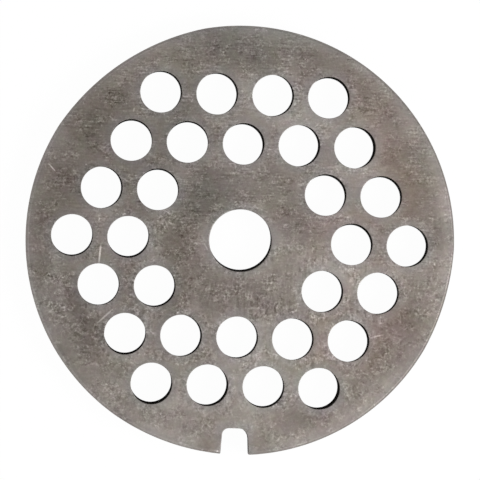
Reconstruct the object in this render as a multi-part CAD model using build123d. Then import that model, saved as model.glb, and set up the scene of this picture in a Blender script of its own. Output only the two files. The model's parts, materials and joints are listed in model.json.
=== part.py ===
from build123d import *
import math
import os

# Meat grinder plate: one flat steel disc. It has a centre bore for the end of the screw,
# round meat holes on a triangular grid, and one open notch in the rim that stops it turning.
# Millimetres. The origin is the centre of the bottom face, and +Z is up.
# Rows of holes run along X, and the notch opens towards -Y.

# Disc
plate_diameter = 62.0
plate_thickness = 4.0
rim_chamfer = 0.3

# Centre bore
bore_diameter = 9.0
bore_chamfer = 0.1

# Meat holes. Their edges are left sharp, because they shear the meat against the knife.
hole_diameter = 6.0
hole_web = 2.1  # steel left between neighbouring holes

# Locating notch: a tapered slot with a round inner end on each side
notch_depth = 3.86
notch_end_width = 3.64
notch_mouth_width = 4.06
notch_left_radius = 1.0
notch_right_radius = 1.3
notch_offset = 0.15  # how far its middle lies to +X of the plate's centre line

# How far a cutter runs past the face that it leaves
overrun = 1.0

plate_radius = plate_diameter / 2
bore_radius = bore_diameter / 2
hole_radius = hole_diameter / 2
hole_pitch = hole_diameter + hole_web
notch_end_y = notch_depth - plate_radius


def turned_cutter(radius, chamfer_size):
    """A round cutter for a through hole, flared by 45 degrees at both faces."""
    flare = chamfer_size + overrun
    low, high = -overrun, plate_thickness + overrun
    corners = [
        (0, low),
        (radius + flare, low),
        (radius, low + flare),
        (radius, high - flare),
        (radius + flare, high),
        (0, high),
    ]
    with BuildPart() as cutter:
        with BuildSketch(Plane.XZ):
            with BuildLine():
                Polyline(*corners, close=True)
            make_face()
        revolve(axis=Axis.Z)
    return cutter.part


def notch_cutter():
    """The slot's outline, narrowing from the rim to its end, carried through the plate."""
    mouth_y = -plate_radius - overrun
    taper = (notch_mouth_width - notch_end_width) / (2 * notch_depth)
    half_end = notch_end_width / 2
    half_mouth = half_end + taper * (notch_end_y - mouth_y)
    corners = [
        (notch_offset - half_mouth, mouth_y),
        (notch_offset - half_end, notch_end_y),
        (notch_offset + half_end, notch_end_y),
        (notch_offset + half_mouth, mouth_y),
    ]
    with BuildPart() as cutter:
        with BuildSketch(Plane.XY.offset(-overrun)) as outline:
            with BuildLine():
                Polyline(*corners, close=True)
            make_face()
            left_corner = outline.vertices().group_by(Axis.Y)[-1].sort_by(Axis.X)[0]
            fillet(left_corner, notch_left_radius)
            right_corner = outline.vertices().group_by(Axis.Y)[-1].sort_by(Axis.X)[-1]
            fillet(right_corner, notch_right_radius)
        extrude(amount=plate_thickness + 2 * overrun)
    return cutter.part


def leaves_a_web(x, y):
    """Whether a hole at (x, y) leaves a full web to the bore, the rim and the notch."""
    from_centre = math.hypot(x, y)
    clear_of_bore = from_centre - hole_radius - bore_radius >= hole_web
    clear_of_rim = plate_radius - from_centre - hole_radius >= hole_web
    beside_notch = max(abs(x - notch_offset) - notch_end_width / 2, 0)
    short_of_notch = max(y - notch_end_y, 0)
    clear_of_notch = math.hypot(beside_notch, short_of_notch) - hole_radius >= hole_web
    return clear_of_bore and clear_of_rim and clear_of_notch


def meat_hole_centres():
    """The sites of a triangular grid round the plate's centre where a hole fits."""
    reach = math.ceil(plate_diameter / hole_pitch)
    row_spacing = hole_pitch * math.sqrt(3) / 2
    centres = []
    for row in range(-reach, reach + 1):
        for column in range(-reach, reach + 1):
            x = hole_pitch * (column + row / 2)
            y = row_spacing * row
            if leaves_a_web(x, y):
                centres.append((x, y))
    return centres


def grinder_plate():
    """The disc with its rim chamfered, then bored, drilled and notched."""
    with BuildPart() as plate:
        Cylinder(plate_radius, plate_thickness, align=(Align.CENTER, Align.CENTER, Align.MIN))
        chamfer(plate.edges().filter_by(GeomType.CIRCLE), rim_chamfer)
        add(turned_cutter(bore_radius, bore_chamfer), mode=Mode.SUBTRACT)
        with BuildSketch():
            with Locations(*meat_hole_centres()):
                Circle(hole_radius)
        extrude(amount=plate_thickness, mode=Mode.SUBTRACT)
        add(notch_cutter(), mode=Mode.SUBTRACT)
    return plate.part


plate = grinder_plate()
print("meat holes", len(meat_hole_centres()))
print("volume", round(plate.volume, 2), "valid", plate.is_valid)

os.makedirs("parts", exist_ok=True)
export_step(plate, "parts/grinder_plate.step")
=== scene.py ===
import json
import math

import bmesh
import bpy
import numpy as np
from mathutils import Matrix, Vector


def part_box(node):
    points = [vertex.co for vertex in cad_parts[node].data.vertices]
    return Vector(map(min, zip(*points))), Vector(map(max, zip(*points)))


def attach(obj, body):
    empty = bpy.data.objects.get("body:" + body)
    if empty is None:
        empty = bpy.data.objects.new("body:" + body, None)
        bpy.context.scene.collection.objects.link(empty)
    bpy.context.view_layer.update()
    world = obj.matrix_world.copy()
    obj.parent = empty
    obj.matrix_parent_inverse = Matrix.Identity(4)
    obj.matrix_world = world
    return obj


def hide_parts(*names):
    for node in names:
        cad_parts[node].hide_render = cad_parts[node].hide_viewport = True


# Lengths in this script are millimetres, and MM turns them into the scene's metres.
MM = 0.001

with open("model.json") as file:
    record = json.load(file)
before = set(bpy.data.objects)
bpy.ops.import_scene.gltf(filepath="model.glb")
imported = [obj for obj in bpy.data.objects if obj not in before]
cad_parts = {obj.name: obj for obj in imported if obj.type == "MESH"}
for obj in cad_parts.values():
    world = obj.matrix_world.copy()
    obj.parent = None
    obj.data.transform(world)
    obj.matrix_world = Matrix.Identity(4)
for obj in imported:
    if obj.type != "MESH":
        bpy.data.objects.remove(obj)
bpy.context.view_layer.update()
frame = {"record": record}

# ---------------------------------------------------------------- sizes, from the frame
plate_low, plate_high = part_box("grinder_plate")
rim_radius = (plate_high.x - plate_low.x) / 2 / MM
thickness = (plate_high.z - plate_low.z) / MM

mounts = {mount["name"]: mount for mount in frame["record"]["mounts"]}
bore_radius = mounts["bore"]["dims"]["r_mm"]
rim_chamfer = (thickness - mounts["rim"]["dims"]["length_mm"]) / 2
notch_middle_x = mounts["locating_notch"]["pos_m"][0] / MM
notch_depth = 2 * (rim_radius + mounts["locating_notch"]["pos_m"][1] / MM)
notch_end_y = notch_depth - rim_radius
openings = frame["record"]["physics"]["openings"]
hole_names = [opening["name"] for opening in openings]
hole_centres = np.array([opening["box_m"] for opening in openings])[:, :, :2].mean(axis=1) / MM
hole_pitch = 2 * np.diff(np.unique(hole_centres[:, 0].round(2))).min()

# Sizes that the frame doesn't state
hole_radius = 3.0
notch_end_width = 3.64
notch_mouth_width = 4.06
notch_left_radius = 1.0
notch_right_radius = 1.3
notch_lean = math.degrees(math.atan2((notch_mouth_width - notch_end_width) / 2, notch_depth))

# Widths of the worn edges, and the radius in plan of the notch's two corners at the rim
hole_edge = 0.05
bore_edge = 0.09
notch_edge = 0.05
mouth_edge = 0.1
mouth_round = 0.12
RIM_WEAR_DROP = 0.03
RIM_WEAR_WIDTH = 2.6
CHAMFER_WEAR = 0.2  # 0 is a flat 45 degree chamfer, 1 is a quarter round

# Where the rim has worn flat: the turn of its middle, half its width in degrees, and its depth
RIM_FLATS = ((125.5, 24, 0.24), (172, 40, 0.04), (-15, 14, 0.12), (-104, 20, 0.09))

# How far the drilled holes are off their places. Rows count from the one furthest from the notch.
ROW_SHIFT = (0.0, -0.08, -0.04, -0.03, 0.02, 0.03, 0.0)  # along Y
BORE_SHIFT = (0.0, -0.03)
RIGHT_SQUEEZE = 0.004  # share of its X by which a hole on the +X side is too near the middle

# How far the notch's cutter and each drill wandered aside on their way down
NOTCH_WANDER = (0.13, 0.0)
NOTCH_CORNER_SPREAD = 0.33  # how much larger its right inner radius is at the bottom face
BORE_WANDER = (0.08, 0.27)
HOLE_WANDER = {
    "row_1_1": (-0.05, -0.02),
    "row_1_2": (-0.04, 0.0),
    "row_1_3": (0.0, 0.15),
    "row_1_4": (0.055, -0.09),
    "row_2_1": (0.06, -0.14),
    "row_2_2": (0.1, -0.105),
    "row_2_3": (-0.045, -0.11),
    "row_2_4": (-0.035, 0.08),
    "row_2_5": (-0.06, 0.0),
    "row_3_1": (-0.12, 0.02),
    "row_3_2": (0.045, -0.16),
    "row_3_3": (0.06, -0.17),
    "row_3_4": (0.09, -0.135),
    "row_4_1": (-0.03, 0.155),
    "row_4_2": (0.015, 0.22),
    "row_4_3": (0.09, -0.2),
    "row_4_4": (0.05, 0.02),
    "row_5_2": (-0.035, 0.11),
    "row_5_3": (0.06, -0.03),
    "row_5_4": (0.13, -0.03),
    "row_6_1": (0.04, 0.17),
    "row_6_2": (-0.07, -0.055),
    "row_6_3": (0.03, 0.0),
    "row_6_4": (0.045, -0.115),
    "row_6_5": (0.03, -0.135),
    "row_7_1": (-0.02, 0.215),
    "row_7_2": (-0.08, 0.06),
    "row_7_3": (0.07, 0.07),
    "row_7_4": (-0.06, 0.12),
}
hole_wanders = [HOLE_WANDER.get(name.removeprefix("meat_hole_"), (0, 0)) for name in hole_names]
hole_rows = [int(name.split("_")[-2]) for name in hole_names]
hole_starts = hole_centres.copy()
hole_starts[:, 0] -= RIGHT_SQUEEZE * np.maximum(hole_centres[:, 0], 0)
hole_starts[:, 1] += [ROW_SHIFT[row - 1] for row in hole_rows]

# Mesh density
STEPS_PER_CELL_EDGE = 12
EDGE_TURNS = np.radians([22.5, 45, 67.5, 90])  # rows round a worn edge
WALL_SHARES = np.array([0.25, 0.5, 0.75])  # rows down a wall
# Rows from a hole's edge to its cell's border, and from the bore's or the rim's to the cells
WEB_SHARES = np.array([0, 0.04, 0.12, 0.26, 0.45, 0.7, 1.0])
BORDER_SHARES = np.array([0, 0.02, 0.06, 0.12, 0.2, 0.3, 0.42, 0.56, 0.7, 0.85, 1.0])
WELD = 0.002 * MM  # the openings' places are given to a micrometre


# ---------------------------------------------------------------- shapes in plan
def heading(turn):
    """The unit vector at a turn in degrees, or one for each turn of an array."""
    turn = np.radians(turn)
    return np.stack([np.cos(turn), np.sin(turn)], axis=-1)


def arc(centre, radius, start, end, steps):
    """Points on an arc at even steps from one turn to another, in degrees, without the last."""
    return centre + radius * heading(start + (end - start) * np.arange(steps) / steps)


def line(start, end):
    """Two points: the start, and halfway to the end."""
    return np.array([start, (start + end) / 2])


def cell_corners(centre):
    """Six corners of a hexagon round the centre, the first straight up: radius pitch / sqrt 3."""
    return centre + hole_pitch / math.sqrt(3) * heading(90 + 60 * np.arange(6))


def cluster_corners(ring):
    """Corners of the outline round the middle cell and its rings of neighbours.

    A corner is on the outline if fewer than three of the cells meet there. The corners come
    in the order of their turn about the middle, from -180 degrees.
    """
    sites = [
        (hole_pitch * (column + row / 2), hole_pitch * row * math.sqrt(3) / 2)
        for row in range(-ring, ring + 1)
        for column in range(-ring, ring + 1)
        if abs(row + column) <= ring
    ]
    corners = np.concatenate([cell_corners(np.array(site)) for site in sites])
    _, first, count = np.unique(
        corners.round(3) + 0.0, axis=0, return_index=True, return_counts=True
    )
    outer = corners[first[count < 3]]
    return outer[np.argsort(np.arctan2(outer[:, 1], outer[:, 0]))]


def along_corners(corners):
    """Points at even steps along a closed chain of corners, as straight blends of neighbours."""
    share = np.arange(STEPS_PER_CELL_EDGE)[:, None] / STEPS_PER_CELL_EDGE
    chain = corners[:, None] * (1 - share) + np.roll(corners, -1, axis=0)[:, None] * share
    return chain.reshape(-1, 2)


def circle_under(outline, centre, radius):
    """The points of a circle that lie in the same directions from its centre as the outline's."""
    out = outline - centre
    return centre + radius * out / np.linalg.norm(out, axis=1, keepdims=True)


def rim_reach(plan):
    """The rim's radius towards each point, less a parabola of the turn at each worn flat."""
    turn = np.degrees(np.arctan2(plan[..., 1], plan[..., 0]))
    reach = np.full(turn.shape, rim_radius)
    for middle, half_width, depth in RIM_FLATS:
        aside = ((turn - middle + 180) % 360 - 180) / half_width
        reach -= depth * np.maximum(0, 1 - aside ** 2)
    return reach


def on_rim(turn):
    """The rim's point at a turn in degrees, or one for each turn of an array."""
    out = heading(turn)
    return rim_reach(out)[..., None] * out


def notch_path(from_turn, to_turn):
    """The rim between two turns in degrees, going in and out of the notch on its way.

    It runs along the rim, round the mouth's left corner, up the left side, round the inner
    corners, and out again. Each arc's centre is where it touches both its neighbours. It has
    24 points, without the last, and with them how large the worn edge is at each, and how far
    the wall has moved aside at the bottom face.
    """
    half_end, half_mouth = notch_end_width / 2, notch_mouth_width / 2
    left_turn = -90 + math.degrees((notch_middle_x - half_mouth - mouth_round) / rim_radius)
    right_turn = -90 + math.degrees((notch_middle_x + half_mouth + mouth_round) / rim_radius)
    left_mouth = on_rim(left_turn) - mouth_round * heading(left_turn)
    right_mouth = on_rim(right_turn) - mouth_round * heading(right_turn)

    # How far an arc's centre lies from a corner, for each unit of its radius
    inset = (1 - math.sin(math.radians(notch_lean))) / math.cos(math.radians(notch_lean))
    left_end = np.array([notch_middle_x - half_end, notch_end_y])
    left_end += notch_left_radius * np.array([inset, -1])
    right_end = np.array([notch_middle_x + half_end, notch_end_y])
    right_end -= notch_right_radius * np.array([inset, 1])

    to_left, to_right = heading(180 - notch_lean), heading(notch_lean)
    points = np.concatenate([
        on_rim(from_turn + (left_turn - from_turn) * np.array([0, 0.6])),
        arc(left_mouth, mouth_round, left_turn, -notch_lean, 2),
        line(left_mouth - mouth_round * to_left, left_end + notch_left_radius * to_left),
        arc(left_end, notch_left_radius, 180 - notch_lean, 90, 5),
        line(left_end + (0, notch_left_radius), right_end + (0, notch_right_radius)),
        arc(right_end, notch_right_radius, 90, notch_lean, 5),
        line(right_end + notch_right_radius * to_right, right_mouth - mouth_round * to_right),
        arc(right_mouth, mouth_round, 180 + notch_lean, 360 + right_turn, 2),
        on_rim(right_turn + (to_turn - right_turn) * np.array([0, 0.4])),
    ])
    on_left, inside, on_right = [rim_chamfer] * 3, [notch_edge] * 17, [rim_chamfer] * 2
    edges = np.array(on_left + [mouth_edge] + inside + [mouth_edge] + on_right)
    wander = np.outer(edges < rim_chamfer, NOTCH_WANDER)
    right_corner = slice(13, 19)
    corner_turns = 90 + (notch_lean - 90) * np.arange(6) / 5
    wander[right_corner] += NOTCH_CORNER_SPREAD * (heading(corner_turns) - (inset, 1))
    return points, edges, wander


# ---------------------------------------------------------------- the plate's surface
def top_height(plan):
    """The top face's height: flat, rolling off with wear by the rim, and its 45 degree chamfer."""
    from_rim = rim_reach(plan) - np.linalg.norm(plan, axis=-1)
    wear = RIM_WEAR_DROP * np.maximum(0, 1 - from_rim / RIM_WEAR_WIDTH) ** 2
    return thickness - np.maximum(0, rim_chamfer - from_rim) - wear


def sleeve(outline, wall, into_steel, edge, face_shares, roundness, wander=(0, 0)):
    """A closed band: in from an outline on the top face, down a wall, and back below.

    Each column is the outline's point, the way to the edge's lip in the face_shares, the edge
    as a chamfer blended with a quarter round by roundness, and the wall. The lower half is the
    upper one mirrored in the plate's middle plane. Rows are downwards and columns go round.
    Wander moves the wall aside in step with its depth, by that much at the bottom face: one
    for the whole wall, or one for each column.
    """
    edge = np.broadcast_to(edge, len(wall))[:, None]
    lip = wall + into_steel * edge
    rows = [lip + (outline - lip) * share for share in face_shares[::-1]]
    heights = [top_height(plan) for plan in rows]
    for turn in EDGE_TURNS:
        flat = turn / EDGE_TURNS[-1]
        inward = (1 - flat) * (1 - roundness) + (1 - math.sin(turn)) * roundness
        downward = flat * (1 - roundness) + (1 - math.cos(turn)) * roundness
        rows.append(wall + into_steel * edge * inward)
        heights.append(top_height(lip) - edge[:, 0] * downward)
    start = heights[-1]
    middle = [start + (thickness - 2 * start) * share for share in WALL_SHARES]
    plan = np.array(rows + [wall] * len(middle) + rows[::-1])
    height = np.array(heights + middle + [thickness - z for z in heights[::-1]])
    at_wall = np.ones(len(plan))
    at_wall[:len(face_shares)] = 1 - face_shares[::-1]
    at_wall[-len(face_shares):] = 1 - face_shares
    depth = 1 - height / thickness
    plan = plan + (at_wall[:, None] * depth)[:, :, None] * np.asarray(wander)
    return np.concatenate([plan, height[:, :, None]], axis=2)


def steel_side(path):
    """Unit vectors to the left of a closed path: at right angles to its mean heading there."""
    ahead = np.roll(path, -1, axis=0) - path
    ahead /= np.linalg.norm(ahead, axis=1, keepdims=True)
    along = ahead + np.roll(ahead, 1, axis=0)
    along /= np.linalg.norm(along, axis=1, keepdims=True)
    return np.stack([-along[:, 1], along[:, 0]], axis=1)


def hole_sleeve(centre, start, wander):
    """A meat hole's wall, which starts near its cell's centre, with the steel of that hexagon."""
    outline = along_corners(cell_corners(centre))
    wall = circle_under(outline, start, hole_radius)
    return sleeve(outline, wall, -steel_side(wall), hole_edge, WEB_SHARES, 1, wander)


def bore_sleeve():
    """The bore's wall with the steel of the seven cells in the middle, which have no holes."""
    outline = along_corners(cluster_corners(1))
    wall = circle_under(outline, BORE_SHIFT, bore_radius)
    return sleeve(outline, wall, -steel_side(wall), bore_edge, BORDER_SHARES, 1, BORE_WANDER)


def rim_sleeve():
    """The rim and notch with the steel outside the cells that have holes.

    The two cell edges over the notch lead to the notch's path, and the rest to the rim.
    """
    corners = cluster_corners(3)
    left_tip = np.argmin(np.hypot(corners[:, 0] + hole_pitch / 2, corners[:, 1] + rim_radius))
    outline = along_corners(np.roll(corners, -left_tip, axis=0))
    wall = circle_under(outline, 0, rim_radius)
    wall *= rim_reach(wall)[:, None] / rim_radius
    edge = np.full(len(wall), rim_chamfer)
    wander = np.zeros_like(wall)
    over_notch = 2 * STEPS_PER_CELL_EDGE
    turns = np.degrees(np.arctan2(wall[[0, over_notch], 1], wall[[0, over_notch], 0]))
    wall[:over_notch], edge[:over_notch], wander[:over_notch] = notch_path(*turns)
    return sleeve(outline, wall, steel_side(wall), edge, BORDER_SHARES, CHAMFER_WEAR, wander)


def grid_mesh(name, grids):
    """One mesh of several grids of points, each closed in its columns, welded where they meet."""
    points, faces = [], []
    for grid in grids:
        rows, columns = grid.shape[:2]
        index = np.arange(rows * columns).reshape(rows, columns) + sum(len(part) for part in points)
        beside = np.roll(index, -1, axis=1)
        corners = np.stack([index[:-1], beside[:-1], beside[1:], index[1:]], axis=-1)
        faces.append(corners.reshape(-1, 4))
        points.append(grid.reshape(-1, 3))
    points, faces = np.concatenate(points) * MM, np.concatenate(faces)

    mesh = bpy.data.meshes.new(name)
    mesh.from_pydata(points, [], faces)
    shell = bmesh.new()
    shell.from_mesh(mesh)
    bmesh.ops.remove_doubles(shell, verts=shell.verts, dist=WELD)
    bmesh.ops.recalc_face_normals(shell, faces=shell.faces)
    shell.to_mesh(mesh)
    shell.free()
    mesh.shade_smooth()
    return mesh


def gap_to_notch(plan):
    """Distance from the notch's sides and end: how far past each, put together."""
    beyond_end = np.maximum(plan[:, 1] - notch_end_y, 0)
    from_end = np.maximum(notch_end_y - plan[:, 1], 0)
    half_width = notch_end_width / 2 + from_end * math.tan(math.radians(notch_lean))
    beyond_side = np.maximum(np.abs(plan[:, 0] - notch_middle_x) - half_width, 0)
    return np.hypot(beyond_side, beyond_end)


def mark_edges(mesh):
    """Gives each point its distance from a hole, from the rim, from the notch and from a face.

    The bore and the notch count as holes too. An opening's distance is from its leaning wall.
    """
    points = np.empty(len(mesh.vertices) * 3, np.float32)
    mesh.vertices.foreach_get("co", points)
    points = points.reshape(-1, 3).astype(float) / MM
    plan = points[:, :2]
    depth = 1 - points[:, 2:] / thickness

    def from_axis(start, wander):
        """Distance from an axis that starts there on top and has moved by wander at the bottom."""
        return np.linalg.norm(plan - start - depth * wander, axis=1)

    to_holes = [from_axis(*hole) - hole_radius for hole in zip(hole_starts, hole_wanders)]
    to_bore = from_axis(BORE_SHIFT, BORE_WANDER) - bore_radius
    to_notch = gap_to_notch(plan - depth * NOTCH_WANDER)
    gaps = {
        "from_hole": np.min([*to_holes, to_bore, to_notch], axis=0),
        "from_rim": rim_reach(plan) - np.linalg.norm(plan, axis=1),
        "from_notch": to_notch,
        "from_face": np.minimum(points[:, 2], thickness - points[:, 2]),
    }
    for name, gap in gaps.items():
        layer = mesh.attributes.new(name, "FLOAT", "POINT")
        layer.data.foreach_set("value", np.maximum(gap, 0).astype(np.float32))


# ---------------------------------------------------------------- steel
class Finish:
    """A material in the making. Its methods add nodes, and most return the last one's output."""

    def __init__(self, name):
        self.material = bpy.data.materials.new(name)
        self.material.use_nodes = True
        self.tree = self.material.node_tree
        self.shader = self.tree.nodes["Principled BSDF"]

    def add(self, kind, settings=None, **inputs):
        """A new node with its settings, and its inputs by name, as links or as plain values."""
        node = self.tree.nodes.new(kind)
        for setting, value in (settings or {}).items():
            setattr(node, setting, value)
        for name, value in inputs.items():
            self.join(node.inputs[name.replace("_", " ")], value)
        return node

    def join(self, socket, value):
        """Links an output to a socket, or gives the socket a plain value."""
        if isinstance(value, bpy.types.NodeSocket):
            self.tree.links.new(value, socket)
        else:
            socket.default_value = value

    def math(self, operation, *terms):
        """One step of arithmetic on outputs and plain numbers."""
        node = self.tree.nodes.new("ShaderNodeMath")
        node.operation = operation
        for socket, term in zip(node.inputs, terms):
            self.join(socket, term)
        return node.outputs[0]

    def total(self, *terms):
        """The sum of its terms."""
        result = terms[0]
        for term in terms[1:]:
            result = self.math("ADD", result, term)
        return result

    def times(self, *terms):
        """The product of its terms."""
        result = terms[0]
        for term in terms[1:]:
            result = self.math("MULTIPLY", result, term)
        return result

    def fade(self, value, start, end, low=0.0, high=1.0):
        """Low up to start, high from end on, and a smooth step between."""
        node = self.add("ShaderNodeMapRange", {"interpolation_type": "SMOOTHSTEP"}, Value=value)
        sockets = {"From Min": start, "From Max": end, "To Min": low, "To Max": high}
        for name, number in sockets.items():
            node.inputs[name].default_value = number
        return node.outputs["Result"]

    def patch(self, point, at, size, turn):
        """1 in the middle of an oval on the top face, fading to 0 at its border.

        The oval has that half length and half width, and is turned by so many degrees.
        """
        placed = self.add("ShaderNodeMapping", {"vector_type": "TEXTURE"}, Vector=point)
        placed.inputs["Location"].default_value = (*at, thickness)
        placed.inputs["Rotation"].default_value = (0, 0, math.radians(turn))
        placed.inputs["Scale"].default_value = (*size, 1.0)
        node = self.add("ShaderNodeTexGradient", {"gradient_type": "SPHERICAL"})
        self.join(node.inputs["Vector"], placed.outputs["Vector"])
        return node.outputs["Fac"]

    def cloud(self, point, at, size, turn):
        """A patch with a softer border and a broader middle."""
        return self.fade(self.patch(point, at, size, turn), 0, 1)

    def noise(self, point, period, octaves=1, share=1.0, offset=0.0, stretch=(1, 1, 1)):
        """Cloudy noise about 0, of that longest period. Each octave is a share of the last one."""
        moved = self.add("ShaderNodeMapping", Vector=point)
        moved.inputs["Location"].default_value = (offset, -offset, offset / 2)
        moved.inputs["Scale"].default_value = stretch
        node = self.add("ShaderNodeTexNoise", Vector=moved.outputs["Vector"])
        node.inputs["Scale"].default_value = 1 / period
        node.inputs["Detail"].default_value = octaves
        node.inputs["Roughness"].default_value = share
        return self.math("SUBTRACT", node.outputs["Fac"], 0.5)


# Tones are in display levels of 0 to 255. Warmth is red less blue, and green is how far green
# is above the middle of red and blue.
TOP_LEVEL = 255.0
DISPLAY_POWER = 2.2
STEEL_TONE = 115.5
WARMTH = 13.6
GREEN_DIP = 0.75
RUST_DIP = -0.32  # green of a rusty cloud for each level of its warmth

# Levels that unevenness adds all over, for each unit of its noise
SWELL_TONE = 10.0
SWELL_WARMTH = 14.0
SWELL_GREEN = 20.0

# Levels that are added beside an opening, beside the rim, and on the rim's chamfer as a painted
# reflection
HOLE_BORDER_TONE = 9.5
HOLE_BORDER_WARMTH = -5.0
RIM_BORDER_TONE = 11.0
RIM_BORDER_WARMTH = -4.0
# Painted reflection of the bright surroundings on the rim's chamfer, lighter towards -X
RIM_CHAMFER_PAINTED_REFLECTION = 9.0
RIM_REFLECTION_SLOPE = -0.4  # for each millimetre towards +X

# The parts of the fine texture, and how many levels each adds for each unit of it
TEXTURE = {
    "grain": 51.0,
    "sparks": 190.0,
    "streaks": 52.0,
    "bands": 18.0,
    "upright_streaks": 50.0,
    "curls": 8.0,
    "large_hairs": 21.0,
    "small_hairs": 19.0,
    "mottle": 29.0,
}
CURL_LINES = 21.0  # phase of the curled lines for each unit of their noise
STREAKS_SLOPE = 0.025  # how much more the streaks along X show for each millimetre towards +Y
UPRIGHT_PATCH = ((8.5, -9.0), (18, 13), -15)  # where upright streaks show most
UPRIGHT_FRAY = 0.8  # how uneven that patch's border is
LIVELY_BASE = 1.02  # share of the texture that shows where no patch changes it
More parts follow.
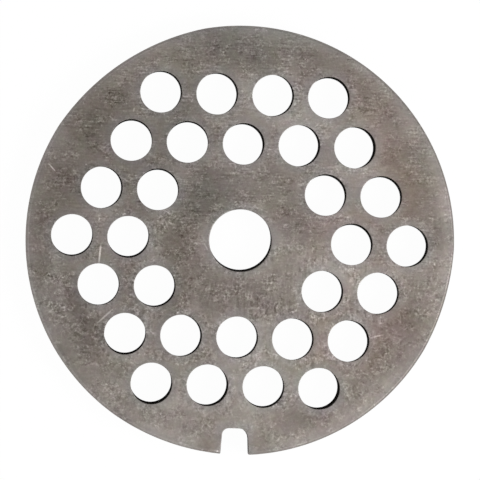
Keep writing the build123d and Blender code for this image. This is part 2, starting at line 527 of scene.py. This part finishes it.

# Some clouds paint part of the shade on the left and the light on the right of the face.
# Clouds of patina and painted light. Name: (x, y), (half length, half width), turn, tone, warmth
PATINA_AND_PAINTED_LIGHT = {
    "dark_left_rim": ((-28.5, 1.5), (21, 7), 88, -12, 0),
    "dark_left": ((-23.2, 7.5), (6, 5), 60, -12, 0),
    "dark_left_lower": ((-23.8, -9.0), (6, 4.5), -50, -17, 0),
    "dark_lower_left": ((-20.8, -14.5), (6, 5), 60, -15, 0),
    "dark_lower_left_rim": ((-22.0, -20.5), (14, 4), -48, -10, 0),
    "dark_left_webs": ((-16.5, -7.0), (7, 4), 90, -8, 0),
    "dark_inner_left_webs": ((-15.0, 4.0), (7, 4), 20, -13, 0),
    "dark_upper_left": ((-21.5, 18.0), (12, 9), 50, -15, 0),
    "dark_upper_left_webs": ((-13.5, 11.5), (12, 6), 10, -12, 0),
    "dark_top_left_web": ((-9.5, 19.0), (8, 5), 60, -14, -2),
    "dark_left_of_bore": ((-5.2, 6.3), (8, 6.5), 20, -17, -3),
    "dark_left_web": ((-9.0, -2.0), (8, 4.5), 90, -13, 0),
    "dark_below_left": ((-9.3, -9.3), (6, 4), 60, -13, 0),
    "dark_under_bore": ((-1.0, -7.5), (8, 5), 0, -4, 0),
    "dark_top": ((-4.0, 29.5), (7, 4), 0, -12, 0),
    "dark_over_top_hole": ((1.5, 25.7), (9, 4), 5, -12, 0),
    "dark_upper_right": ((15.0, 24.5), (18, 7), -35, -6, 0),
    "dark_right_of_bore": ((9.5, 1.5), (7, 5), 90, -9, 0),
    "dark_right": ((24.0, 8.3), (8, 5.5), -60, -15, 0),
    "dark_right_rim": ((28.8, 1.2), (4, 3), 90, -10, 0),
    "dark_lower_right": ((24.8, -11.5), (11, 7), 65, -13, 0),
    "dark_under_last_hole": ((11.0, -25.5), (8, 4), 0, -11, 0),
    "stain_left_of_notch": ((-3.4, -30.2), (4, 2.6), 20, -17, 4),
    "stain_right_of_notch": ((3.4, -29.8), (3, 2.5), 90, -12, 2),
    "light_bottom": ((-9.3, -26.0), (12, 7), -8, 15, 0),
    "light_bottom_left": ((-18.5, -21.3), (6, 4), -50, 15, 0),
    "light_over_notch": ((2.0, -25.0), (8, 5), -10, 14, 0),
    "light_right_of_notch": ((9.0, -28.2), (11, 4.5), 14, 9, 0),
    "light_notch_web": ((-0.3, -20.5), (7, 5), 90, 10, 0),
    "light_bottom_webs": ((5.0, -16.5), (12, 7), -20, 11, 0),
    "light_lower_left_web": ((-15.0, -17.6), (6, 4), -30, 9, 0),
    "light_lower_right": ((17.0, -24.0), (9, 4), 35, 7, 0),
    "light_right_of_bore": ((7.5, -3.0), (10, 7), -20, 12, 0),
    "light_right_web": ((14.8, -4.0), (8, 5), -20, 13, 0),
    "light_right_rim": ((28.5, 6.0), (7, 4), 80, 9, 0),
    "light_upper_webs": ((7.5, 18.0), (10, 5), -10, 18, 0),
    "light_top_web": ((0.2, 22.0), (6, 4.5), 90, 13, 0),
    "light_top": ((7.3, 26.0), (6, 5), 0, 10, 0),
    "light_upper_right_web": ((17.0, 10.3), (8, 4), 0, 13, 0),
    "light_upper_right": ((22.0, 17.5), (9, 5), -45, 9, 0),
    "light_upper_left_rim": ((-25.5, 12.8), (7, 4.5), 20, 11, 0),
    "light_left_web": ((-12.0, -0.5), (6, 3), 95, 6, 0),
    "light_by_bore": ((-6.0, 0.0), (5, 3), 90, 9, 0),
    "light_left_rim": ((-26.3, -6.5), (8, 3), 100, 12, 0),
    "light_far_left_web": ((-19.3, 3.5), (4, 3), 90, 10, 0),
    "dark_lower_web_joint": ((10.0, -17.6), (2.6, 2.0), 0, -12, 0),
    "dark_right_edge": ((28.3, 2.8), (3.5, 2.4), 85, -10, 0),
    "dark_upper_right_side": ((23.8, 13.9), (5, 3), -20, -8, 0),
    "dark_beside_top_row": ((20.5, 19.3), (4.5, 3), -45, -7, 0),
    "dark_over_last_hole": ((9.3, 26.3), (4, 3), -40, -8, 0),
    "dark_upper_left_side": ((-22.8, 14.2), (5.5, 3), 20, -9, 0),
    "dark_by_left_scratch": ((-27.6, 11.0), (4, 2.2), 70, -8, 0),
    "dark_left_band": ((-24.9, -8.4), (4, 1.8), 75, -8, 0),
    "dark_left_edge": ((-28.4, -6.8), (3, 1.6), 95, -8, 0),
    "light_by_dotted": ((-20.6, -10.9), (2.2, 1.7), 30, 10, 0),
    "dark_by_left_web": ((-9.8, -3.8), (2.4, 1.8), 30, -8, 0),
    "light_right_upper_spot": ((24.0, 12.2), (2.4, 2), 0, 7, 0),
    "light_right_edge_spot": ((27.0, -4.6), (2.6, 1.8), 0, 7, 0),
    "light_lower_left_spot": ((-17.9, -21.2), (3, 2), 0, 6, 0),
    "light_lower_right_spot": ((21.4, -19.6), (3, 2.4), 40, 5, 0),
    "dark_top_right_spot": ((7.2, 28.0), (3, 2), -20, -7, 0),
    "dark_left_web_joint": ((-15.9, 7.8), (2.5, 2.2), 0, -8, 0),
    "dark_left_lower_joint": ((-16.1, -7.0), (2.5, 2), 90, -9, 0),
    "dark_bottom_left": ((-13.0, -24.8), (5, 2.4), -15, -9, 0),
    "dark_bottom_left_hole": ((-17.0, -20.0), (3.5, 2.6), 70, -6, 0),
    "dark_right_hole": ((19.4, -16.4), (3, 2.4), 60, -8, 0),
    "dark_last_hole_side": ((16.3, -22.0), (3, 2.2), 80, -8, 0),
    "dark_bottom_edge": ((6.0, -29.8), (3, 1.8), 10, -8, 0),
    "dark_lower_left_edge": ((-15.4, -26.7), (6, 1.4), -30, -16, 0),
    "dark_web_joint": ((-4.0, 14.8), (2.6, 1.8), 90, -9, 0),
    "dark_right_lower_joint": ((9.6, -4.4), (2.4, 2.2), 0, -9, 0),
    "dark_under_bore_side": ((2.4, -9.6), (3.4, 2), 20, -8, 0),
    "dark_lower_left_hole": ((-22.3, -10.8), (2.6, 2), 0, -9, 0),
    "dark_bottom_joint": ((-2.0, -23.9), (3, 2), 0, -9, 0),
    "dark_right_edge_upper": ((26.0, 15.2), (3, 2.4), -60, -7, 0),
    "dark_left_edge_lower": ((-25.2, -17.0), (3, 1.6), -55, -9, 0),
    "dark_right_side_lower": ((21.0, -15.4), (3.4, 2.6), 0, -7, 0),
    "light_side_of_bore": ((6.9, 0.3), (2, 2), 0, 8, 0),
    "light_below_bore_side": ((5.0, -6.6), (3, 2.6), 0, 6, 0),
    "light_left_of_bore_low": ((-8.0, -4.2), (2, 2), 0, 7, 0),
    "light_below_left_joint": ((-7.0, -9.6), (2.4, 2), 0, 7, 0),
    "light_right_edge": ((29.6, -3.0), (5, 1.6), 85, 9, 0),
    "light_left_edge_lower": ((-27.6, -8.4), (4, 1.6), 105, 7, 0),
    "light_side_of_top_row": ((5.8, 27.2), (2, 1.8), 0, 7, 0),
    "light_upper_right_joint": ((24.5, 11.0), (2.6, 2.4), 0, 8, 0),
    "light_over_second_row": ((-8.3, 9.4), (3.2, 2.4), 0, 11, 0),
    "light_upper_joint": ((-2.6, 17.4), (3, 1.8), 0, 11, 0),
    "light_second_row_web": ((4.4, 13.2), (3, 1.8), 90, 10, 0),
    "light_second_row_joint": ((-3.9, 12.2), (2, 2), 0, 7, 0),
    "light_over_bore": ((1.2, 8.8), (2.6, 2.6), 0, 6, 0),
    "light_above_bore": ((-2.8, 7.4), (5, 3), 0, 5, 0),
    "light_right_middle": ((9.8, -0.6), (3.4, 3), 0, 9, 0),
    "light_right_joint": ((11.3, 2.3), (2.6, 2), 0, 8, 0),
    "light_far_right_joint": ((22.5, -3.6), (2.4, 2), 0, 11, 0),
    "light_right_side": ((26.8, -7.0), (4.4, 2.6), 85, 10, 0),
    "light_upper_right_side": ((25.2, 8.6), (4, 2), 85, 9, 0),
    "light_lower_right_side": ((23.0, -13.4), (3.6, 3), 60, 10, 0),
    "light_left_edge": ((-29.6, -2.6), (2.6, 2), 90, 9, 0),
    "light_left_side": ((-26.3, -8.0), (4.4, 2), 100, 7, 0),
    "light_lower_left_joint": ((-24.0, -11.6), (3, 2.2), -30, 9, 0),
    "light_lower_left_side": ((-22.4, -17.8), (4.4, 2.4), -55, 10, 0),
    "light_bottom_row": ((-8.0, -23.6), (3.2, 2), 0, 9, 0),
    "light_bottom_joint": ((-7.9, -18.5), (2.4, 2), 0, 7, 0),
    "light_bottom_web": ((7.9, -22.6), (2.8, 2), 90, 9, 0),
    "light_left_joint": ((-10.9, 3.0), (2.8, 2.4), 0, 7, 0),
    "light_left_smear": ((-25.4, -8.4), (4.4, 0.9), -75, 14, 0),
    "light_left_upper_smear": ((-26.6, -3.6), (2.6, 0.8), -80, 9, 0),
    "light_left_lower_joint": ((-11.3, -2.8), (2.8, 2.4), 0, 9, 0),
    "light_upper_left_side": ((-17.6, 23.0), (4.4, 2), 50, 8, 0),
    "light_left_upper_side": ((-26.4, 6.0), (3.4, 2.4), 0, 6, 0),
    "light_under_bore": ((3.4, -11.9), (3, 2.2), 60, 7, 0),
    "light_top_row_side": ((16.2, 18.4), (2.6, 2), 90, 8, 0),
    "light_upper_edge": ((17.6, 25.3), (6, 1.6), -35, 10, 0),
    "light_right_upper_edge": ((27.2, 14.4), (4, 1.4), -62, 5, 0),
    "rust_upper_right": ((18.0, 18.5), (11, 6), -55, 0, 4),
    "rust_right": ((22.5, 9.0), (11, 6), -60, 0, 6),
    "rust_right_web": ((12.5, 2.0), (7, 5), 60, 0, 4),
    "rust_far_right": ((20.0, -4.0), (10, 7), 90, 0, 3),
    "rust_lower_right": ((20.8, -13.4), (10, 5), 60, 0, 5),
    "rust_lower_web": ((12.5, -14.0), (7, 6), 90, 0, 5),
    "rust_lower_joint": ((14.8, -8.0), (4, 3), 60, 0, 3),
    "rust_right_joint": ((18.0, 3.6), (4, 3), 60, 0, 4),
    "grey_lower_left": ((-26.5, -10.0), (12, 6), -65, 0, -2),
    "grey_top": ((1.0, 29.5), (16, 6), 0, 0, -4),
}

# Where the fine texture is stronger or weaker. Name: (x, y), (half length, half width), turn, share
LIVELINESS = {
    "calm_right": ((21.0, 10.0), (14, 8), 90, -0.4),
    "calm_bottom": ((0.0, -26.5), (17, 6), 0, -0.3),
    "calm_last_hole": ((11.6, -23.0), (6, 5), 0, -0.4),
    "calm_right_inner_web": ((11.6, -5.8), (6, 5), 0, -0.65),
    "calm_lower_right_side": ((23.2, -11.6), (5, 4), 0, -0.35),
    "calm_right_of_bore": ((6.2, 0.0), (4, 5), 0, -0.4),
    "calm_right_web": ((17.4, 0.0), (5, 5), 0, -0.3),
    "calm_upper_web": ((0.0, 17.4), (5, 4), 0, -0.4),
    "calm_top_left": ((-11.5, 23.5), (5, 5), 0, -0.3),
    "calm_left_edge": ((-28.8, 0.0), (4, 3), 90, -0.45),
    "calm_lower_left": ((-11.5, -20.2), (7, 6), 90, -0.35),
    "calm_upper_left_web": ((-17.0, 11.4), (4, 4), 0, -0.35),
    "calm_lower_right": ((17.4, -17.6), (4, 4), 0, -0.3),
    "lively_left": ((-17.6, -12.2), (6, 4.5), 0, 0.3),
    "lively_far_left": ((-28.6, -7.4), (8, 4), 100, 0.8),
    "lively_left_of_bore": ((-11.6, 0.6), (8, 5), 90, 0.35),
    "lively_under_bore": ((-6.0, -11.4), (5, 4), 0, 0.6),
    "lively_upper_left": ((-18.0, 19.0), (7, 5), 50, 0.45),
    "lively_left_web": ((-17.2, 5.6), (4, 4), 0, 0.45),
    "lively_bottom_web": ((5.9, -22.8), (4, 3.5), 0, 0.8),
    "lively_top": ((0.0, 23.0), (5, 4), 0, 0.35),
    "lively_top_right": ((11.6, 22.8), (5, 4), 0, 0.35),
}

MARK_POWER = 0.6  # below 1, a mark stays bright nearly to its border
# Scratches and nicks. Name: (x, y), (half length, half width), turn, tone
MARKS = {
    "scratch_left": ((-27.5, 9.6), (0.9, 0.13), -46, 80),
    "scratch_upright": ((-20.2, -2.6), (1.6, 0.16), 86, 90),
    "scratch_right": ((20.2, -13.2), (1.1, 0.15), 15, 62),
    "scratch_dotted": ((-19.2, -11.6), (1.7, 0.17), 44, 56),
    "scratch_by_bore": ((-4.9, -1.15), (0.6, 0.1), -58, 40),
    "scratch_over_bore": ((1.8, 5.05), (0.5, 0.09), 50, 26),
    "scratch_upper": ((10.5, 17.0), (0.55, 0.1), 42, 34),
    "scratch_left_web": ((-16.3, 7.9), (1.1, 0.12), -26, 26),
    "nick_bore": ((2.55, 7.75), (0.2, 0.18), 0, 40),
    "nick_left": ((-22.6, 10.2), (0.2, 0.17), 0, 36),
    "nick_upper_left": ((-16.0, 18.3), (0.35, 0.13), 80, 50),
    "nick_upper_right": ((14.9, 19.3), (0.2, 0.16), 0, 34),
    "nick_rim_left": ((-4.5, -30.4), (0.25, 0.14), 30, 40),
    "nick_rim_middle": ((-3.6, -30.6), (0.2, 0.14), 0, 36),
    "nick_rim_right": ((-2.3, -30.5), (0.2, 0.14), 0, 44),
}


def hairs(finish, point, period, offset):
    """Fine curls: 1 along the lines where a noise is 0, if another is high, and 0 elsewhere."""
    curl = finish.math("ABSOLUTE", finish.noise(point, period=period, offset=offset))
    gate = finish.noise(point, period=period / 2, offset=offset + 50.0)
    return finish.times(finish.fade(curl, 0.0, 0.02, 1.0, 0.0), finish.fade(gate, 0.02, 0.12))


def steel_texture(finish, point):
    """Fine tone: grain and hairs all over, and streaks and curled lines by zone.

    Streaks along X fade out towards -Y, and curled lines fade in. Curled lines are the sine of
    a noise, so they follow its contours. Upright streaks are in an oval to one side of the bore.
    """
    along_y = finish.add("ShaderNodeSeparateXYZ", Vector=point).outputs["Y"]
    streaks_here = finish.total(
        finish.times(along_y, STREAKS_SLOPE),
        finish.noise(point, period=9, offset=44.0),
    )
    streaks_share = finish.fade(streaks_here, -0.3, 0.15, low=0.25, high=1.0)
    curls_share = finish.fade(streaks_here, -0.25, 0.2, low=1.0, high=0.3)
    upright_here = finish.total(
        finish.patch(point, *UPRIGHT_PATCH),
        finish.times(finish.noise(point, period=8, offset=19.0), UPRIGHT_FRAY),
    )
    upright_share = finish.fade(upright_here, 0.15, 0.5)

    grain = finish.noise(point, period=0.34, offset=3.0)
    sparks = finish.math("MAXIMUM", grain, 0.0)
    streaks = finish.noise(point, period=0.32, share=0.8, offset=31.0, stretch=(0.18, 1, 1))
    upright = finish.noise(point, period=0.32, share=0.8, offset=57.0, stretch=(1, 0.2, 1))
    bands = finish.noise(point, period=0.9, offset=49.0, stretch=(0.28, 1, 1))
    curl_phase = finish.times(finish.noise(point, period=1.5, offset=71.0), CURL_LINES)
    parts = {
        "grain": grain,
        "sparks": finish.times(sparks, sparks),
        "streaks": finish.times(streaks, streaks_share),
        "bands": finish.times(bands, streaks_share),
        "upright_streaks": finish.times(upright, upright_share),
        "curls": finish.times(finish.math("SINE", curl_phase), curls_share),
        "large_hairs": hairs(finish, point, period=2.4, offset=83.0),
        "small_hairs": hairs(finish, point, period=1.6, offset=29.0),
        "mottle": finish.noise(point, period=1.6, octaves=2, offset=3.0),
    }
    return finish.total(*[finish.times(part, TEXTURE[name]) for name, part in parts.items()])


def steel_tone(finish, point, from_hole, from_rim):
    """The face's tone, warmth and green: texture, light borders, painted reflection and light,
    patina, marks.
    """
    along_x = finish.add("ShaderNodeSeparateXYZ", Vector=point).outputs["X"]
    places = [
        finish.times(finish.cloud(point, at, size, turn), float(share))
        for at, size, turn, share in LIVELINESS.values()
    ]
    blotches = finish.noise(point, period=3, octaves=2, share=0.9, offset=63.0)
    lively = finish.times(
        finish.total(LIVELY_BASE, *places),
        finish.fade(from_hole, 0.0, 1.4, low=0.95, high=1.0),
        finish.fade(from_rim, 0.5, 3.0, low=0.75, high=1.0),
        finish.fade(blotches, -0.1, 0.12, low=0.38, high=1.44),
    )
    # Painted reflection on the rim's chamfer: lighter towards -X, a little darker at +X
    rim_painted_reflection = finish.math("MULTIPLY_ADD", along_x, RIM_REFLECTION_SLOPE, RIM_CHAMFER_PAINTED_REFLECTION)
    terms = [
        STEEL_TONE,
        finish.times(steel_texture(finish, point), lively),
        finish.times(finish.noise(point, period=12, offset=41.0), SWELL_TONE),
        finish.fade(from_hole, 0.8, 2.3, HOLE_BORDER_TONE, 0.0),
        finish.fade(from_rim, 0.8, 3.2, RIM_BORDER_TONE, 0.0),
        finish.times(finish.fade(from_rim, 0.3, 0.55, 1.0, 0.0), rim_painted_reflection),
    ]
    warm_swell = finish.noise(point, period=6, octaves=5, share=0.95, offset=77.0)
    warmth = [
        WARMTH,
        finish.times(warm_swell, SWELL_WARMTH),
        finish.fade(from_hole, 0.1, 1.5, HOLE_BORDER_WARMTH, 0.0),
        finish.fade(from_rim, 0.1, 1.6, RIM_BORDER_WARMTH, 0.0),
    ]
    green_swell = finish.noise(point, period=7, octaves=5, offset=91.0)
    green = [-GREEN_DIP, finish.times(green_swell, SWELL_GREEN)]
    # Clouds of patina, some of which paint part of the shade on the left and the light on the right
    for at, size, turn, tone, warm in PATINA_AND_PAINTED_LIGHT.values():
        cloud = finish.cloud(point, at, size, turn)
        if tone:
            terms.append(finish.times(cloud, float(tone)))
        if warm:
            warmth.append(finish.times(cloud, float(warm)))
            green.append(finish.times(cloud, RUST_DIP * warm))
    for at, size, turn, tone in MARKS.values():
        mark = finish.math("POWER", finish.patch(point, at, size, turn), MARK_POWER)
        terms.append(finish.times(mark, float(tone)))
    return finish.total(*terms), finish.total(*warmth), finish.total(*green)


def display_colour(finish, tone, warmth, green_shift):
    """Levels of red, green and blue round a tone, turned from display to light by a power."""
    red = finish.math("MULTIPLY_ADD", warmth, 0.5, tone)
    blue = finish.math("MULTIPLY_ADD", warmth, -0.5, tone)
    green = finish.math("ADD", tone, green_shift)
    red, green, blue = [finish.math("DIVIDE", level, TOP_LEVEL) for level in (red, green, blue)]
    mixed = finish.add("ShaderNodeCombineColor", Red=red, Green=green, Blue=blue).outputs["Color"]
    return finish.add("ShaderNodeGamma", Color=mixed, Gamma=DISPLAY_POWER).outputs["Color"]


# The turned side of the rim: its tone, and the levels its rings add for each unit of their noise
RIM_SIDE_TONE = STEEL_TONE + 8
RIM_SIDE_RINGS = 50.0

# Walls of the openings, steel painted dark as their shade, as shares of light
HOLE_WALL_PAINTED_SHADE = (0.02, 0.018, 0.016, 1)
NOTCH_WALL_PAINTED_SHADE = (0.04, 0.038, 0.035, 1)
NOTCH_END_PAINTED_SHADE = (0.2, 0.19, 0.18, 1)  # its inner end, and its mouth at the rim

FACE_METALLIC = 0.9
WALL_ROUGHNESS = 0.95
RELIEF_STRENGTH = 0.12
RELIEF_DEPTH = 0.02


def plate_steel():
    """Dull ground steel: mottled faces, smoother brighter edges, a turned rim, walls painted black
    as shade.
    """
    finish = Finish("plate_steel_worn_and_painted_shade")
    here = finish.add("ShaderNodeTexCoord").outputs["Object"]
    scaled = finish.add("ShaderNodeVectorMath", {"operation": "SCALE"}, Vector=here, Scale=1 / MM)
    point = scaled.outputs["Vector"]
    from_hole, from_rim, from_notch, from_face = [
        finish.add("ShaderNodeAttribute", {"attribute_name": name}).outputs["Fac"]
        for name in ("from_hole", "from_rim", "from_notch", "from_face")
    ]
    face_colour = display_colour(finish, *steel_tone(finish, point, from_hole, from_rim))

    turning = finish.noise(point, period=4, octaves=4, share=0.8, offset=11.0, stretch=(1, 1, 12))
    rim_tone = finish.math("MULTIPLY_ADD", turning, RIM_SIDE_RINGS, RIM_SIDE_TONE)
    rim_colour = display_colour(finish, rim_tone, WARMTH, -GREEN_DIP)
    on_side = finish.times(finish.fade(from_rim, 0.1, 0.02), finish.fade(from_face, 0.1, 0.3))
    in_hole = finish.times(finish.fade(from_hole, 0.06, 0.02), finish.fade(from_face, 0.02, 0.12))

    def blend(share, first, second):
        """The first colour where the share is 0, and the second where it is 1."""
        node = finish.add("ShaderNodeMix", {"data_type": "RGBA"})
        finish.join(node.inputs[0], share)
        finish.join(node.inputs[6], first)
        finish.join(node.inputs[7], second)
        return node.outputs[2]

    outside = blend(on_side, face_colour, rim_colour)
    along_y = finish.add("ShaderNodeSeparateXYZ", Vector=point).outputs["Y"]
    at_notch_ends = finish.total(
        finish.fade(along_y, notch_end_y - 1.7, notch_end_y - 1.0),
        finish.fade(along_y, 0.6 - rim_radius, 0.2 - rim_radius),
    )
    # Painted shade on the walls: darkest in the holes and on the notch's sides, lighter at its ends
    notch_wall_painted_shade = blend(at_notch_ends, NOTCH_WALL_PAINTED_SHADE, NOTCH_END_PAINTED_SHADE)
    walls_painted_shade = blend(finish.fade(from_notch, 0.5, 0.1), HOLE_WALL_PAINTED_SHADE, notch_wall_painted_shade)
    colour = blend(in_hole, outside, walls_painted_shade)
    finish.join(finish.shader.inputs["Base Color"], colour)
    metallic = finish.fade(in_hole, 0, 1, FACE_METALLIC, 0.0)
    finish.join(finish.shader.inputs["Metallic"], metallic)
    gloss = finish.noise(point, period=3, octaves=5, share=0.9, offset=23.0)
    rough = finish.total(
        finish.times(gloss, finish.fade(from_rim, 0.3, 2.0, 0.0, 0.25)),
        finish.fade(from_rim, 0.3, 2.0, 0.6, 0.5),
    )
    rougher_walls = finish.math("MAXIMUM", rough, finish.times(in_hole, WALL_ROUGHNESS))
    finish.join(finish.shader.inputs["Roughness"], rougher_walls)
    finish.shader.inputs["Specular IOR Level"].default_value = 0.0
    grain = finish.noise(point, period=0.6, octaves=3, share=0.8, offset=5.0)
    relief = finish.times(grain, finish.fade(from_rim, 0.3, 1.0))
    bump = finish.add("ShaderNodeBump", Height=relief, Strength=RELIEF_STRENGTH)
    bump.inputs["Distance"].default_value = RELIEF_DEPTH * MM
    finish.join(finish.shader.inputs["Normal"], bump.outputs["Normal"])
    return finish.material


def make_plate():
    """The whole plate as one welded shell of sleeves, with its steel."""
    holes = [hole_sleeve(*hole) for hole in zip(hole_centres, hole_starts, hole_wanders)]
    grids = holes + [bore_sleeve(), rim_sleeve()]
    mesh = grid_mesh("grinder_plate_steel", grids)
    mark_edges(mesh)
    mesh.materials.append(plate_steel())
    plate = bpy.data.objects.new("grinder_plate_steel", mesh)
    bpy.context.scene.collection.objects.link(plate)
    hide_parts("grinder_plate")
    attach(plate, "root")
    triangles = sum(len(face.vertices) - 2 for face in mesh.polygons)
    print("plate", len(mesh.vertices), "points,", triangles, "triangles")


# ---------------------------------------------------------------- studio
FLOOR_HALF = 3000.0
FLOOR_COLOUR = (0.9, 0.9, 0.9, 1)
FLOOR_GLOW = 0.975  # share of the floor's look that is white glow, which shadows don't change

SKY_HORIZON = 0.95
SKY_ZENITH = 0.55
SKY_TO_RIGHT = 0.08  # how much brighter it is for each unit towards +X
SKY_TO_FRONT = 0.12  # and for each unit towards -Y

# Lamps. Name: place, size, power in watts
LAMPS = {
    "lamp_front_right": ((225, -75, 230), 150, 0.95),
    "lamp_front_left": ((-160, -200, 260), 200, 0.15),
}

# The view
VIEW_TURN = math.radians(1.915)  # how far the camera is turned about the upright
VIEW_WIDTH = 69.27  # what the view spans on the top face
VIEW_HEIGHT = 600.0
VIEW_FOOT = (-33.0, 3.0)  # how far right and up in the view the camera is from its target
VIEW_MIDDLE = (-0.06, 0.06)  # how far right and up the target is from the top face's middle
SENSOR = 36.0


def make_floor():
    """A large pale sheet under the plate, with a white glow, and clear from below."""
    corners = FLOOR_HALF * MM * np.array([(-1, -1, 0), (1, -1, 0), (1, 1, 0), (-1, 1, 0)])
    mesh = bpy.data.meshes.new("studio_floor")
    mesh.from_pydata(corners, [], [(0, 1, 2, 3)])
    finish = Finish("studio_floor_white")
    nodes, links = finish.tree.nodes, finish.tree.links
    finish.shader.inputs["Base Color"].default_value = FLOOR_COLOUR
    finish.shader.inputs["Roughness"].default_value = 1.0
    finish.shader.inputs["Specular IOR Level"].default_value = 0.0
    path = finish.add("ShaderNodeLightPath")
    seen = finish.math("MAXIMUM", path.outputs["Is Camera Ray"], path.outputs["Is Glossy Ray"])
    white = finish.add("ShaderNodeEmission", Color=(1, 1, 1, 1), Strength=1.0)
    lit = nodes.new("ShaderNodeMixShader")
    finish.join(lit.inputs[0], finish.times(seen, FLOOR_GLOW))
    links.new(finish.shader.outputs[0], lit.inputs[1])
    links.new(white.outputs[0], lit.inputs[2])
    open_below = nodes.new("ShaderNodeMixShader")
    links.new(finish.add("ShaderNodeNewGeometry").outputs["Backfacing"], open_below.inputs[0])
    links.new(lit.outputs[0], open_below.inputs[1])
    links.new(nodes.new("ShaderNodeBsdfTransparent").outputs[0], open_below.inputs[2])
    links.new(open_below.outputs[0], nodes["Material Output"].inputs["Surface"])
    finish.material.cycles.emission_sampling = "NONE"
    mesh.materials.append(finish.material)
    floor = bpy.data.objects.new("studio_floor", mesh)
    bpy.context.scene.collection.objects.link(floor)


def make_sky():
    """Even studio light, dimmer overhead, and brighter towards the front and the right."""
    world = bpy.data.worlds.new("studio_sky")
    bpy.context.scene.world = world
    world.use_nodes = True
    nodes, links = world.node_tree.nodes, world.node_tree.links
    background = nodes["Background"]
    split = nodes.new("ShaderNodeSeparateXYZ")
    links.new(nodes.new("ShaderNodeTexCoord").outputs["Generated"], split.inputs[0])

    def term(operation, *values):
        """One step of arithmetic on outputs and plain numbers."""
        node = nodes.new("ShaderNodeMath")
        node.operation = operation
        for socket, value in zip(node.inputs, values):
            if isinstance(value, bpy.types.NodeSocket):
                links.new(value, socket)
            else:
                socket.default_value = value
        return node.outputs[0]

    height = term("MAXIMUM", split.outputs["Z"], 0.0)
    level = term("MULTIPLY_ADD", height, SKY_ZENITH - SKY_HORIZON, SKY_HORIZON)
    level = term("MULTIPLY_ADD", split.outputs["X"], SKY_TO_RIGHT, level)
    level = term("MULTIPLY_ADD", split.outputs["Y"], -SKY_TO_FRONT, level)
    links.new(level, background.inputs["Strength"])
    background.inputs["Color"].default_value = (1, 1, 1, 1)


def make_lamp(name, place, size, power):
    """A square soft lamp, aimed at the plate's middle."""
    data = bpy.data.lights.new(name, "AREA")
    data.shape = "SQUARE"
    data.size = size * MM
    data.energy = power
    lamp = bpy.data.objects.new(name, data)
    lamp.location = Vector(place) * MM
    lamp.rotation_euler = (-lamp.location).to_track_quat("-Z", "Y").to_euler()
    bpy.context.scene.collection.objects.link(lamp)


def make_camera():
    """High over a point beside the plate, looking down at the middle of its top face."""
    right = Vector((math.cos(VIEW_TURN), math.sin(VIEW_TURN), 0))
    up = Vector((-math.sin(VIEW_TURN), math.cos(VIEW_TURN), 0))
    target = Vector((0, 0, thickness)) + up * VIEW_MIDDLE[1] + right * VIEW_MIDDLE[0]
    place = target + right * VIEW_FOOT[0] + up * VIEW_FOOT[1] + Vector((0, 0, VIEW_HEIGHT))
    back = (place - target).normalized()
    across = (right - back * right.dot(back)).normalized()
    above = back.cross(across)
    data = bpy.data.cameras.new("camera")
    data.sensor_width = SENSOR
    data.lens = SENSOR * (place - target).length / VIEW_WIDTH
    camera = bpy.data.objects.new("camera", data)
    turned = Matrix((across, above, back)).transposed().to_4x4()
    camera.matrix_world = Matrix.Translation(place * MM) @ turned
    bpy.context.scene.collection.objects.link(camera)
    bpy.context.scene.camera = camera


make_plate()
make_floor()
make_sky()
for lamp_name, lamp in LAMPS.items():
    make_lamp(lamp_name, *lamp)
make_camera()
bpy.context.scene.view_settings.view_transform = "Standard"
